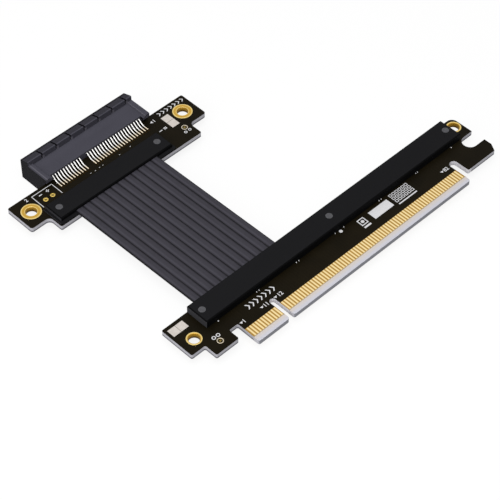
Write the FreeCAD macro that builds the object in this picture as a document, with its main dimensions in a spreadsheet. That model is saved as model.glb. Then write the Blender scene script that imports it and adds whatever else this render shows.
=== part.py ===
import FreeCAD, Part
import enum
import math
import os
import types

import Sketcher

# Flat ribbon slot extension. A long board with a sixteen-lane card edge and a short board with a
# four-lane straddle-mount socket lie in one plane, joined by a flat ribbon of twelve bands.
# Plan places run from the centre of the key notch (x) and from the free edge of the tongue (y).
# Heights run from the upper face of both boards (z). The whole part is then placed so that its
# box stands centred on the surface it lies on.

SIZES = {
    # both boards
    "board_thickness": 1.6,
    "copper": 0.05,
    "hole_bore": 3.4,
    "corner": 0.5,
    # card edge
    "key_width": 1.9,
    "key_depth": 8.0,
    "tongue_corner": 0.8,
    "bevel_length": 1.3,
    "bevel_depth": 0.35,
    "finger_pitch": 1.0,
    "finger_width": 0.7,
    "finger_start": 1.6,
    "finger_length": 3.65,
    "finger_end_inset": 0.8,
    "finger_key_inset": 0.55,
    "short_finger_count": 11,
    "long_finger_count": 71,
    # edge board outline
    "foot_slot_width": 3.15,
    "foot_slot_depth": 8.0,
    "foot_width": 8.15,
    "foot_low": 4.2,
    "arm_length": 4.85,
    "arm_low": 8.6,
    "arm_width": 11.8,
    "hook_slot_width": 2.6,
    "hook_slot_depth": 8.5,
    "hook_length": 12.8,
    "hook_low": 2.75,
    "hook_nose_length": 1.4,
    "hook_nose_rise": 2.4,
    "latch_notch_low": 7.8,
    "latch_notch_width": 4.8,
    "latch_notch_depth": 6.1,
    "shoulder_setback": 0.1,
    "shoulder_corner": 2.0,
    "edge_land": 4.45,
    "left_hole_inset": 4.4,
    "left_hole_rise": 3.8,
    "right_hole_inset": 2.5,
    "right_hole_setback": 2.98,
    # ribbon and its soldered ends
    "band_pitch": 2.56,
    "band_count": 12,
    "ribbon_thickness": 0.75,
    "band_web": 0.35,
    "band_bevel": 0.2,
    "ribbon_margin": 2.97,
    "ribbon_clearance": 0.06,
    "board_gap": 47.0,
    "edge_strip_inset": 2.8,
    "socket_strip_inset": 3.6,
    "tail_width": 0.25,
    "tail_spacing": 0.8,
    "tail_length": 2.5,
    "solder_land_width": 1.3,
    "solder_land_length": 1.7,
    "solder_land_margin": 0.2,
    # covers and their posts
    "cover_left_gap": 2.675,
    "cover_right_gap": 0.525,
    "edge_cover_setback": 0.05,
    "edge_cover_room": 1.5,
    "edge_cover_height": 2.6,
    "edge_cover_wall": 0.8,
    "edge_post_inset": 2.05,
    "edge_post_setback": 3.7,
    "edge_post_count": 3,
    "socket_cover_margin": 5.69,
    "socket_cover_setback": 1.25,
    "socket_cover_room": 1.35,
    "socket_cover_height": 1.65,
    "socket_lower_depth": 1.4,
    "socket_cover_wall": 0.55,
    "socket_post_inset": 2.5,
    "socket_post_setback": 3.2,
    "socket_post_count": 2,
    "skirt_width": 0.7,
    "skirt_front": 1.1,
    "skirt_height": 0.4,
    "cover_edge": 0.3,
    "post_diameter": 2.2,
    "post_clearance": 0.02,
    "board_post_clearance": 0.1,
    "core_gap": 1.5,
    # socket board outline
    "board_left_margin": 0.36,
    "board_right_margin": 9.44,
    "right_overhang": 0.36,
    "contact_zone": 7.55,
    "ear_depth": 10.65,
    "ear_corner": 0.8,
    "ear_throat": 1.5,
    "ear_rim": 1.2,
    "ear_land_overlap": 0.29,
    "socket_hole_setback": 5.4,
    "socket_land": 6.0,
    # tinned bridge pads on the boards
    "bridge_pad_across": 2.75,
    "bridge_pad_along": 2.58,
    "bridge_pad_pitch": 2.72,
    "edge_bridge_inset": 1.0,
    "edge_bridge_setback": 1.2,
    "socket_bridge_inset": 1.6,
    "socket_bridge_setback": 3.2,
    # socket contacts and their lands
    "contact_pitch": 1.0,
    "short_contact_count": 11,
    "long_contact_count": 21,
    "key_gap": 3.0,
    "contact_width": 0.45,
    "contact_thickness": 0.2,
    "foot_reach": 4.1,
    "foot_length": 2.3,
    "leg_rise": 1.5,
    "beam_length": 6.2,
    "beam_dip": 0.25,
    "beam_tip_length": 1.2,
    "beam_tip_rise": 0.65,
    "land_width": 0.6,
    "land_length": 3.1,
    "land_reach": 4.7,
    # socket housing
    "housing_seat": 0.05,
    "housing_margin": 3.3,
    "channel_width": 0.6,
    "channel_room": 0.6,
    "channel_clearance": 0.05,
    "channel_roof": 0.35,
    "mouth_wall": 2.0,
    "mouth_drop": 0.15,
    "mouth_flare": 0.5,
    "panel_recess": 0.5,
    "end_wall": 1.65,
    "end_ledge_length": 1.2,
    "end_ledge_width": 2.5,
    "end_ledge_height": 1.3,
    "rim_rise": 1.4,
    "rim_slope": 3.0,
    "rim_lip": 0.4,
    "rim_groove_width": 0.5,
    "rim_groove_start": 5.28,
    "rim_groove_end": 2.32,
    "rim_groove_run": 2.0,
    "rim_groove_count": 7,
    "card_clearance": 0.15,
    "slot_floor": 2.5,
    "slot_margin": 1.3,
    "slot_lead": 0.35,
    "key_rib": 1.6,
}

doc = FreeCAD.newDocument("SlotExtension")
sheet = doc.addObject("Spreadsheet::Sheet", "Sizes")
for row, (alias, number) in enumerate(SIZES.items(), start=1):
    sheet.set(f"A{row}", alias)
    sheet.set(f"B{row}", str(number))
    sheet.setAlias(f"B{row}", alias)
doc.recompute()


class Size:
    """A length: its present number, and the expression on the sheet that keeps it up to date."""

    def __init__(self, number, text):
        self.number = number
        self.text = text

    def combined(self, other, sign, number):
        return Size(number, f"({self.text} {sign} {other.text})")

    def __add__(self, other):
        other = size_of(other)
        return self.combined(other, "+", self.number + other.number)

    def __sub__(self, other):
        other = size_of(other)
        return self.combined(other, "-", self.number - other.number)

    def __mul__(self, other):
        other = size_of(other)
        return self.combined(other, "*", self.number * other.number)

    def __truediv__(self, other):
        other = size_of(other)
        return self.combined(other, "/", self.number / other.number)

    def __neg__(self):
        return Size(-self.number, f"(0 - {self.text})")

    def __rsub__(self, other):
        return size_of(other) - self

    __radd__ = __add__
    __rmul__ = __mul__


def size_of(value):
    """The value as a Size, a plain number becoming a constant."""
    return value if isinstance(value, Size) else Size(float(value), repr(float(value)))


size = types.SimpleNamespace(**{alias: Size(float(sheet.get(alias)), f"Sizes.{alias}") for alias in SIZES})


class At(enum.IntEnum):
    """The points of a sketched edge, in the order in which a constraint numbers them."""

    START = enum.auto()
    END = enum.auto()
    CENTRE = enum.auto()


def bind(thing, name, value):
    """Ties a property to the sheet."""
    thing.setExpression(name, size_of(value).text)


def origin_feature(body, role):
    """One of the body's own planes or axes."""
    return next(feature for feature in body.Origin.OriginFeatures if feature.Role == role)


# Places that several pieces share, each worked out from the ones before it

tongue_left = -(size.key_width / 2 + size.finger_key_inset + size.finger_end_inset
                + size.finger_pitch * (size.short_finger_count - 1))
tongue_right = (size.key_width / 2 + size.finger_key_inset + size.finger_end_inset
                + size.finger_pitch * (size.long_finger_count - 1))
foot_right = tongue_left - size.foot_slot_width
foot_left = foot_right - size.foot_width
arm_end = foot_left - size.arm_length
hook_left = tongue_right + size.hook_slot_width
hook_end = hook_left + size.hook_length
shoulder_end = hook_end - size.shoulder_setback
edge_back = size.arm_low + size.arm_width
left_hole = (arm_end + size.left_hole_inset, size.arm_low + size.left_hole_rise)
right_hole = (shoulder_end - size.right_hole_inset, edge_back - size.right_hole_setback)

edge_cover_left = left_hole[0] + size.edge_land / 2 + size.cover_left_gap
edge_cover_right = right_hole[0] - size.edge_land / 2 - size.cover_right_gap
ribbon_left = edge_cover_left + size.ribbon_margin
ribbon_right = ribbon_left + size.band_pitch * size.band_count
edge_strip = edge_back - size.edge_strip_inset
edge_land_end = edge_strip - size.tail_length - size.solder_land_margin
edge_cover_front = edge_land_end - size.edge_cover_room - size.edge_cover_wall
edge_cover_back = edge_back - size.edge_cover_setback

socket_front = edge_back + size.board_gap
socket_cover_left = ribbon_left - size.socket_cover_margin
socket_cover_right = ribbon_right + size.socket_cover_margin
socket_strip = socket_front + size.socket_strip_inset
socket_land_end = socket_strip + size.tail_length + size.solder_land_margin
socket_cover_front = socket_front + size.socket_cover_setback
socket_cover_back = socket_land_end + size.socket_cover_room + size.socket_cover_wall
skirt_left = socket_cover_left - size.skirt_width
skirt_right = socket_cover_right + size.skirt_width
board_left = skirt_left - size.board_left_margin
board_right = skirt_right + size.board_right_margin
board_end = board_right + size.right_overhang
socket_middle = (board_left + board_right) / 2
socket_back = socket_cover_back + size.contact_zone
socket_hole_left = skirt_left + size.ear_land_overlap - size.socket_land / 2
socket_hole_right = board_right + (board_left - socket_hole_left)
socket_hole_y = socket_back - size.socket_hole_setback
ear_left = socket_hole_left - size.socket_land / 2 - size.ear_rim
ear_right = socket_hole_right + size.socket_land / 2 + size.ear_rim + size.right_overhang

channel_rise = size.copper + size.leg_rise + size.contact_thickness + size.channel_clearance
channel_length = size.beam_length + size.beam_tip_length + size.channel_room
panel = channel_rise + size.channel_roof
housing_top = panel + size.panel_recess
housing_back = socket_back + size.housing_seat
mouth = housing_back + channel_length + size.mouth_wall
mouth_top = housing_top - size.mouth_drop
underside = -size.board_thickness
standing = underside - mouth_top
datum_x = (ear_left + hook_end) / 2
datum_y = mouth / 2


def seat(thing, x=0, y=0, z=0):
    """Puts a piece at a place on the boards, counted from the part's own origin."""
    bind(thing, "Placement.Base.x", size_of(x) - datum_x)
    bind(thing, "Placement.Base.y", size_of(y) - datum_y)
    bind(thing, "Placement.Base.z", size_of(z) - standing)


def new_piece(label, x=0, y=0, z=0):
    """An empty body for one piece, or for a row of like pieces."""
    body = doc.addObject("PartDesign::Body", label)
    body.Label = label
    body.AllowCompound = True
    seat(body, x, y, z)
    return body


def new_sketch(body, plane, offset=0):
    """A sketch on one of the body's origin planes, moved along that plane's normal."""
    sketch = body.newObject("Sketcher::SketchObject", body.Label + "_sketch")
    sketch.AttachmentSupport = [(origin_feature(body, plane), "")]
    sketch.MapMode = "FlatFace"
    bind(sketch, "AttachmentOffset.Base.z", offset)
    return sketch


def hold_point(sketch, geometry, point, place):
    """Fixes a point of a sketch at its distances from the origin, which is geometry -1."""
    for kind, value in zip(("DistanceX", "DistanceY"), place):
        value = size_of(value)
        index = sketch.addConstraint(Sketcher.Constraint(kind, -1, At.START, geometry, point, value.number))
        bind(sketch, f"Constraints[{index}]", value)


def arc_between(start, end, radius):
    """The short arc from start to end that turns left with a positive radius, else right."""
    middle = (start + end) / 2
    chord = end - start
    rise = math.sqrt(max(radius * radius - chord.Length ** 2 / 4, 0.0))
    left = FreeCAD.Vector(-chord.y, chord.x, 0).normalize()
    centre = middle + left * math.copysign(rise, radius)
    first, last = (start, end) if radius > 0 else (end, start)
    angles = [math.atan2(point.y - centre.y, point.x - centre.x) for point in (first, last)]
    circle = Part.Circle(centre, FreeCAD.Vector(0, 0, 1), abs(radius))
    return Part.ArcOfCircle(circle, *angles)


def outline(sketch, corners):
    """A closed outline. A corner is (x, y), or (x, y, radius) where an arc leaves it for the next."""
    points = [FreeCAD.Vector(size_of(c[0]).number, size_of(c[1]).number, 0) for c in corners]
    edges = []
    for index, corner in enumerate(corners):
        start, end = points[index], points[(index + 1) % len(points)]
        if len(corner) == 2:
            geometry = sketch.addGeometry(Part.LineSegment(start, end))
            edges.append((geometry, At.START, At.END))
            continue
        radius = size_of(corner[2])
        geometry = sketch.addGeometry(arc_between(start, end, radius.number))
        turned = radius if radius.number > 0 else -radius
        index = sketch.addConstraint(Sketcher.Constraint("Radius", geometry, turned.number))
        bind(sketch, f"Constraints[{index}]", turned)
        edges.append((geometry, At.START, At.END) if radius.number > 0 else (geometry, At.END, At.START))
    for index, corner in enumerate(corners):
        geometry, first, last = edges[index]
        following, next_first, _ = edges[(index + 1) % len(edges)]
        sketch.addConstraint(Sketcher.Constraint("Coincident", geometry, last, following, next_first))
        hold_point(sketch, geometry, first, corner[:2])


def heading(one, other, tolerance=1e-6):
    """The way along one axis from one place to another: -1, 0 or 1."""
    run = size_of(other).number - size_of(one).number
    return 0 if abs(run) < tolerance else math.copysign(1, run)


def same_place(one, other):
    """Whether two corners lie on one point."""
    return not any(heading(a, b) for a, b in zip(one[:2], other[:2]))


def rounded(corners):
    """Square corners (x, y, radius), counter-clockwise, each turned into its two ends and an arc."""
    path = []
    for index, (x, y, radius) in enumerate(corners):
        if not size_of(radius).number:
            path.append((x, y))
            continue
        before, after = corners[index - 1], corners[(index + 1) % len(corners)]
        into = [heading(a, b) for a, b in zip(before, (x, y))]
        out = [heading(a, b) for a, b in zip((x, y), after)]
        turn = into[0] * out[1] - into[1] * out[0]
        start = (x - radius * into[0], y - radius * into[1], radius * turn)
        end = (x + radius * out[0], y + radius * out[1])
        if path and same_place(path[-1], start):
            path.pop()
        path += [start, end]
    return path


def rectangle(sketch, x0, y0, x1, y1, radius=0):
    """An upright rectangle, its corners rounded where a radius is given."""
    outline(sketch, rounded([(x0, y0, radius), (x1, y0, radius), (x1, y1, radius), (x0, y1, radius)]))


def circle(sketch, x, y, diameter):
    """A circle by its centre and diameter."""
    place = FreeCAD.Vector(size_of(x).number, size_of(y).number, 0)
    geometry = sketch.addGeometry(Part.Circle(place, FreeCAD.Vector(0, 0, 1), size_of(diameter).number / 2))
    index = sketch.addConstraint(Sketcher.Constraint("Diameter", geometry, size_of(diameter).number))
    bind(sketch, f"Constraints[{index}]", diameter)
    hold_point(sketch, geometry, At.CENTRE, (x, y))


def pad(body, sketch, length, reverse=False, symmetric=False):
    """Adds material from a sketch, along its normal unless reversed."""
    feature = body.newObject("PartDesign::Pad", body.Label + "_pad")
    feature.Profile = sketch
    feature.Reversed = reverse
    feature.SideType = "Symmetric" if symmetric else "One side"
    bind(feature, "Length", length)
    doc.recompute()
    return feature


def pocket(body, sketch, length, reverse=False, symmetric=False):
    """Cuts a sketch out of the body, against its normal unless reversed, and proves that it cut."""
    before = body.Shape.Volume
    feature = body.newObject("PartDesign::Pocket", body.Label + "_pocket")
    feature.Profile = sketch
    feature.Reversed = reverse
    feature.SideType = "Symmetric" if symmetric else "One side"
    bind(feature, "Length", length)
    doc.recompute()
    if not body.Shape.Volume < before:
        raise RuntimeError(f"a cut in {body.Label} removed nothing")
    return feature


def row(body, features, count, pitch, axis="X_Axis"):
    """Repeats features in a straight row."""
    pattern = body.newObject("PartDesign::LinearPattern", body.Label + "_row")
    pattern.Originals = features
    pattern.Direction = (origin_feature(body, axis), [""])
    pattern.Mode = "Extent"
    bind(pattern, "Occurrences", count)
    bind(pattern, "Length", pitch * (count - 1))
    body.Tip = pattern
    doc.recompute()
    return pattern


def dress(body, kind, edges, prop, value):
    """Rounds or bevels the edges that the test picks from the body as it stands."""
    base = body.Tip
    names = [f"Edge{number}" for number, edge in enumerate(base.Shape.Edges, start=1) if edges(edge)]
    if not names:
        raise RuntimeError(f"{body.Label} has no edge to finish")
    feature = body.newObject("PartDesign::" + kind, body.Label + "_" + kind.lower())
    feature.Base = (base, names)
    bind(feature, prop, value)
    doc.recompute()
    return feature


def edge_at(axis, value, tolerance=1e-4):
    """A test for edges that lie wholly at one height along an axis of the body."""
    def lies_there(edge):
        box = edge.BoundBox
        low, high = {"y": (box.YMin, box.YMax), "z": (box.ZMin, box.ZMax)}[axis]
        place = size_of(value).number
        return abs(low - place) < tolerance and abs(high - place) < tolerance
    return lies_there


pieces = []

# Edge board: a 1.6 mm laminate routed in one outline, with the tongue, the round-ended key notch,
# the foot at the left and the latch hook at the right. The tongue's free edge is bevelled on both faces.

latch_notch_high = size.latch_notch_low + size.latch_notch_width
latch_notch_end = hook_end - size.latch_notch_depth
plated_hole = size.hole_bore + 2 * size.copper
board_post_hole = size.post_diameter + 2 * size.board_post_clearance


def post_row(left, right, y, count):
    """Places of evenly spaced posts, the first and the last at the two ends given."""
    count = size_of(count)
    spacing = (right - left) / (count - 1)
    return [(left + spacing * number, y) for number in range(int(count.number))]


edge_posts = post_row(edge_cover_left + size.edge_post_inset, edge_cover_right - size.edge_post_inset,
                      edge_cover_back - size.edge_post_setback, size.edge_post_count)

edge_board = new_piece("edge_board")
sketch = new_sketch(edge_board, "XY_Plane")
outline(sketch, rounded([
    (arm_end, size.arm_low, size.corner),
    (foot_left, size.arm_low, size.corner),
    (foot_left, size.foot_low, size.corner),
    (foot_right, size.foot_low, size.corner),
    (foot_right, size.foot_slot_depth, size.corner),
    (tongue_left, size.foot_slot_depth, size.corner),
    (tongue_left, 0, size.tongue_corner),
    (-size.key_width / 2, 0, size.tongue_corner),
    (-size.key_width / 2, size.key_depth, size.key_width / 2),
    (size.key_width / 2, size.key_depth, size.key_width / 2),
    (size.key_width / 2, 0, size.tongue_corner),
    (tongue_right, 0, size.tongue_corner),
    (tongue_right, size.hook_slot_depth, size.hook_slot_width / 2),
    (hook_left, size.hook_slot_depth, size.hook_slot_width / 2),
    (hook_left, size.hook_low, size.corner),
    (hook_end - size.hook_nose_length, size.hook_low, 0),
    (hook_end, size.hook_low + size.hook_nose_rise, 0),
    (hook_end, size.latch_notch_low, 0),
    (latch_notch_end, size.latch_notch_low, size.latch_notch_width / 2),
    (latch_notch_end, latch_notch_high, size.latch_notch_width / 2),
    (shoulder_end, latch_notch_high, 0),
    (shoulder_end, edge_back, size.shoulder_corner),
    (arm_end, edge_back, size.corner),
]))
for place in (left_hole, right_hole):
    circle(sketch, *place, plated_hole)
for place in edge_posts:
    circle(sketch, *place, board_post_hole)
pad(edge_board, sketch, size.board_thickness, reverse=True)

sketch = new_sketch(edge_board, "YZ_Plane")
outline(sketch, [(0, 0), (0, -size.bevel_depth), (size.bevel_length, 0)])
outline(sketch, [(0, underside), (size.bevel_length, underside), (0, underside + size.bevel_depth)])
pocket(edge_board, sketch, 2 * (tongue_right - tongue_left), symmetric=True)
pieces.append(edge_board)

# Card fingers: hard gold strips on both faces of the tongue, one millimetre apart, with the
# key notch between the eleventh and the twelfth.


def card_fingers(label, base):
    """The two rows of fingers on one face, each finger a flat gold bar standing on the laminate."""
    body = new_piece(label)
    rows = (
        (tongue_left + size.finger_end_inset, size.short_finger_count),
        (size.key_width / 2 + size.finger_key_inset, size.long_finger_count),
    )
    for first, count in rows:
        sketch = new_sketch(body, "XY_Plane", base)
        rectangle(sketch, first - size.finger_width / 2, size.finger_start,
                  first + size.finger_width / 2, size.finger_start + size.finger_length)
        row(body, [pad(body, sketch, size.copper)], count, size.finger_pitch)
    pieces.append(body)


card_fingers("edge_fingers_top", 0)
card_fingers("edge_fingers_bottom", underside - size.copper)

# Plated holes: a copper barrel through the board with a gold land on each face, made as one eyelet.


def plated_holes(label, x, y, bore, land, count=1, pitch=0):
    """A row of eyelets whose barrels line the board's holes and whose lands lie on its faces."""
    body = new_piece(label, x, y)
    sketch = new_sketch(body, "XZ_Plane")
    inner, barrel, rim = bore / 2, bore / 2 + size.copper, land / 2
    outline(sketch, [
        (inner, underside - size.copper), (rim, underside - size.copper), (rim, underside),
        (barrel, underside), (barrel, 0), (rim, 0), (rim, size.copper), (inner, size.copper),
    ])
    turned = body.newObject("PartDesign::Revolution", label + "_turned")
    turned.Profile = sketch
    turned.ReferenceAxis = (sketch, ["V_Axis"])
    turned.Angle = 360
    doc.recompute()
    if count != 1:
        row(body, [turned], size_of(count), size_of(pitch))
    pieces.append(body)


plated_holes("edge_left_hole_plating", *left_hole, size.hole_bore, size.edge_land)
plated_holes("edge_right_hole_plating", *right_hole, size.hole_bore, size.edge_land)
plated_holes("socket_hole_platings", socket_hole_left, socket_hole_y, size.hole_bore, size.socket_land, 2,
             socket_hole_right - socket_hole_left)

# Socket board: the same laminate with an ear at each side for its screws.

ear_low = socket_back - size.ear_depth
socket_posts = post_row(socket_cover_left + size.socket_post_inset, socket_cover_right - size.socket_post_inset,
                        socket_cover_back - size.socket_post_setback, size.socket_post_count)

socket_board = new_piece("socket_board")
sketch = new_sketch(socket_board, "XY_Plane")
outline(sketch, rounded([
    (ear_left, ear_low, size.ear_corner),
    (board_left, ear_low, size.ear_throat),
    (board_left, socket_front, size.corner),
    (board_end, socket_front, size.corner),
    (board_end, ear_low, size.ear_throat),
    (ear_right, ear_low, size.ear_corner),
    (ear_right, socket_back, size.corner),
    (ear_left, socket_back, size.corner),
]))
for x in (socket_hole_left, socket_hole_right):
    circle(sketch, x, socket_hole_y, plated_hole)
for place in socket_posts:
    circle(sketch, *place, board_post_hole)
pad(socket_board, sketch, size.board_thickness, reverse=True)
pieces.append(socket_board)

# Bridge pads: a tinned pair on each board's upper face, which a drop of solder can join.


def bridge_pads(label, x, y, width, depth, axis):
    """Two tinned pads side by side along one axis."""
    body = new_piece(label, x, y)
    sketch = new_sketch(body, "XY_Plane")
    rectangle(sketch, 0, 0, width, depth)
    row(body, [pad(body, sketch, size.copper)], size_of(2), size.bridge_pad_pitch, axis)
    pieces.append(body)


bridge_pads("edge_bridge_pads", arm_end + size.edge_bridge_inset,
            edge_back - size.edge_bridge_setback - size.bridge_pad_across,
            size.bridge_pad_along, size.bridge_pad_across, "X_Axis")
bridge_pads("socket_bridge_pads", board_right - size.socket_bridge_inset - size.bridge_pad_across,
            socket_back - size.socket_bridge_setback - size.bridge_pad_along - size.bridge_pad_pitch,
            size.bridge_pad_across, size.bridge_pad_along, "Y_Axis")

# Ribbon: twelve flat cable bands side by side in one jacket, lying on both boards. Its jacket is
# stripped under each cover, where the two conductor tails of a band lie on one solder land.

ribbon = new_piece("ribbon_jacket")
web_low = (size.ribbon_thickness - size.band_web) / 2
web_high = web_low + size.band_web
band_right = ribbon_left + size.band_pitch
sketch = new_sketch(ribbon, "XZ_Plane", -edge_strip)
outline(sketch, [
    (ribbon_left, web_low), (ribbon_left + size.band_bevel, 0), (band_right - size.band_bevel, 0),
    (band_right, web_low), (band_right, web_high), (band_right - size.band_bevel, size.ribbon_thickness),
    (ribbon_left + size.band_bevel, size.ribbon_thickness), (ribbon_left, web_high),
])
band = pad(ribbon, sketch, socket_strip - edge_strip, reverse=True)
row(ribbon, [band], size.band_count, size.band_pitch)
pieces.append(ribbon)

first_band = ribbon_left + size.band_pitch / 2


def ribbon_end(name, tail_start, land_start):
    """The conductor tails and solder lands at one end, from the y at which each of them begins."""
    tails = new_piece("ribbon_tails_" + name)
    sketch = new_sketch(tails, "XY_Plane", size.copper)
    for side in (-1, 1):
        centre = first_band + size.tail_spacing / 2 * side
        rectangle(sketch, centre - size.tail_width / 2, tail_start,
                  centre + size.tail_width / 2, tail_start + size.tail_length)
    row(tails, [pad(tails, sketch, size.tail_width)], size.band_count, size.band_pitch)
    lands = new_piece(name + "_solder_lands")
    sketch = new_sketch(lands, "XY_Plane")
    rectangle(sketch, first_band - size.solder_land_width / 2, land_start,
              first_band + size.solder_land_width / 2, land_start + size.solder_land_length)
    row(lands, [pad(lands, sketch, size.copper)], size.band_count, size.band_pitch)
    pieces.extend((tails, lands))


ribbon_end("edge", edge_strip - size.tail_length, edge_land_end)
ribbon_end("socket", socket_strip, socket_land_end - size.solder_land_length)

# Covers: moulded bars that clamp the ribbon's soldered ends, one above and one below each board. Posts
# on the lower bar run up through the board and end flush with the upper bar, where they are staked.
# Both bars are cored out between the posts, which gives the soldered ends their room.


def cover(label, plan, face, height, wall, posts, above):
    """A bar on one face of the board, bevelled round its outside and cored out between its posts."""
    left, front, right, back = plan
    body = new_piece(label)
    sketch = new_sketch(body, "XY_Plane", face)
    rectangle(sketch, left, front, right, back)
    pad(body, sketch, height, reverse=not above)
    outside = face + height if above else face - height
    dress(body, "Chamfer", edge_at("z", outside), "Size", size.cover_edge)
    sketch = new_sketch(body, "XY_Plane", face)
    for (x0, _), (x1, _) in zip(posts, posts[1:]):
        rectangle(sketch, x0 + size.core_gap, front + wall, x1 - size.core_gap, back - wall)
    pocket(body, sketch, height - wall, reverse=above)
    pieces.append(body)
    return body


def post_holes(body, posts, height):
    """Holes through an upper bar for the posts."""
    sketch = new_sketch(body, "XY_Plane")
    for place in posts:
        circle(sketch, *place, size.post_diameter + 2 * size.post_clearance)
    pocket(body, sketch, height, reverse=True)


def post_pads(body, posts, height):
    """The posts of a lower bar, up to the outside of the upper one."""
    sketch = new_sketch(body, "XY_Plane", underside)
    for place in posts:
        circle(sketch, *place, size.post_diameter)
    pad(body, sketch, size.board_thickness + height)


def ribbon_mouth(body, y0, y1):
    """The slot through which the ribbon enters an upper bar."""
    sketch = new_sketch(body, "XY_Plane")
    rectangle(sketch, ribbon_left - size.ribbon_clearance, y0, ribbon_right + size.ribbon_clearance, y1)
    pocket(body, sketch, size.ribbon_thickness + size.ribbon_clearance, reverse=True)


edge_plan = (edge_cover_left, edge_cover_front, edge_cover_right, edge_cover_back)
edge_upper = cover("edge_upper_cover", edge_plan, size_of(0), size.edge_cover_height,
                   size.edge_cover_wall, edge_posts, True)
post_holes(edge_upper, edge_posts, size.edge_cover_height)
ribbon_mouth(edge_upper, edge_strip - size.ribbon_clearance, edge_cover_back)
edge_lower = cover("edge_lower_cover", edge_plan, underside, mouth_top, size.edge_cover_wall, edge_posts, False)
post_pads(edge_lower, edge_posts, size.edge_cover_height)

socket_plan = (socket_cover_left, socket_cover_front, socket_cover_right, socket_cover_back)
socket_upper = cover("socket_upper_cover", socket_plan, size_of(0), size.socket_cover_height,
                     size.socket_cover_wall, socket_posts, True)
skirt_low = socket_cover_front - size.skirt_front
sketch = new_sketch(socket_upper, "XY_Plane")
outline(sketch, rounded([
    (skirt_left, skirt_low, size.skirt_width), (skirt_right, skirt_low, size.skirt_width),
    (skirt_right, socket_cover_back, 0), (socket_cover_right, socket_cover_back, 0),
    (socket_cover_right, socket_cover_front, 0), (socket_cover_left, socket_cover_front, 0),
    (socket_cover_left, socket_cover_back, 0), (skirt_left, socket_cover_back, 0),
]))
pad(socket_upper, sketch, size.skirt_height)
post_holes(socket_upper, socket_posts, size.socket_cover_height)
ribbon_mouth(socket_upper, skirt_low, socket_strip + size.ribbon_clearance)
socket_lower = cover("socket_lower_cover", socket_plan, underside, size.socket_lower_depth,
                     size.socket_cover_wall, socket_posts, False)
post_pads(socket_lower, socket_posts, size.socket_cover_height)

# Socket housing: glass-filled mouldings stacked in three layers. The upper shell has a flared and notched
# rim above the mouth and a sunken panel, the core gives the card slot its floor, ends and key rib, and
# the lower shell closes it. Both shells have a channel for every contact.

short_span = size.contact_pitch * (size.short_contact_count - 1)
long_span = size.contact_pitch * (size.long_contact_count - 1)
first_contact = socket_middle - (short_span + size.key_gap + long_span) / 2
key_contact = first_contact + short_span + size.key_gap
last_contact = key_contact + long_span
key_centre = key_contact - size.key_gap / 2
contact_groups = ((first_contact, size.short_contact_count), (key_contact, size.long_contact_count))
housing_left = first_contact - size.housing_margin
housing_right = last_contact + size.housing_margin
housing_length = housing_right - housing_left
ridge = mouth - size.rim_slope
rim_back = ridge - size.rim_lip
rim_top = housing_top + size.rim_rise
ledge_end = housing_back - size.end_ledge_length
slot_half = (size.board_thickness + size.card_clearance) / 2
slot_low, slot_high = underside / 2 - slot_half, underside / 2 + slot_half
slot_left, slot_right = first_contact - size.slot_margin, last_contact + size.slot_margin


def shell_cuts(body, outside, face, above):
    """A shell's sunken panel, its contact channels and the lead-in of the card slot."""
    sketch = new_sketch(body, "XY_Plane", outside)
    rectangle(sketch, housing_left + size.end_wall, ledge_end, housing_right - size.end_wall, rim_back)
    pocket(body, sketch, size.panel_recess, reverse=not above)
    for first, count in contact_groups:
        sketch = new_sketch(body, "XZ_Plane", -housing_back)
        low, high = (size_of(0), channel_rise) if above else (underside - channel_rise, underside)
        rectangle(sketch, first - size.channel_width / 2, low, first + size.channel_width / 2, high)
        row(body, [pocket(body, sketch, channel_length)], count, size.contact_pitch)
    lead = size.slot_lead if above else -size.slot_lead
    sketch = new_sketch(body, "YZ_Plane", slot_left)
    corners = [(mouth - size.slot_lead, face), (mouth, face), (mouth, face + lead)]
    outline(sketch, corners if above else corners[::-1])
    pocket(body, sketch, slot_right - slot_left, reverse=True)
    pieces.append(body)


upper_shell = new_piece("socket_upper_shell")
sketch = new_sketch(upper_shell, "YZ_Plane", housing_left)
outline(sketch, [
    (housing_back, slot_high), (mouth, slot_high), (mouth, mouth_top + size.mouth_flare), (ridge, rim_top),
    (rim_back, rim_top), (rim_back, housing_top), (housing_back, housing_top),
])
pad(upper_shell, sketch, housing_length)
sketch = new_sketch(upper_shell, "YZ_Plane", housing_left)
outline(sketch, [
    (ledge_end, size.end_ledge_height), (housing_back, size.end_ledge_height),
    (housing_back, housing_top), (ledge_end, housing_top),
])
ledge = pad(upper_shell, sketch, size.end_ledge_width)
row(upper_shell, [ledge], size_of(2), housing_length - size.end_ledge_width)
groove_left = housing_left + size.rim_groove_start - size.rim_groove_width / 2
groove_reach = housing_length - size.rim_groove_start - size.rim_groove_end
sketch = new_sketch(upper_shell, "XY_Plane", rim_top)
rectangle(sketch, groove_left, rim_back, groove_left + size.rim_groove_width, ridge + size.rim_groove_run)
groove = pocket(upper_shell, sketch, size.rim_rise + size.panel_recess)
row(upper_shell, [groove], size.rim_groove_count, groove_reach / (size.rim_groove_count - 1))
shell_cuts(upper_shell, housing_top, slot_high, True)

slot_end = housing_back + size.slot_floor
key_left, key_right = key_centre - size.key_rib / 2, key_centre + size.key_rib / 2
core = new_piece("socket_core")
sketch = new_sketch(core, "XY_Plane", slot_low)
outline(sketch, [
    (housing_left, housing_back), (housing_right, housing_back), (housing_right, mouth),
    (slot_right + size.slot_lead, mouth), (slot_right, mouth - size.slot_lead), (slot_right, slot_end),
    (key_right, slot_end), (key_right, mouth - size.slot_lead), (key_right - size.slot_lead, mouth),
    (key_left + size.slot_lead, mouth), (key_left, mouth - size.slot_lead), (key_left, slot_end),
    (slot_left, slot_end), (slot_left, mouth - size.slot_lead), (slot_left - size.slot_lead, mouth),
    (housing_left, mouth),
])
pad(core, sketch, slot_high - slot_low)
pieces.append(core)

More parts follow.
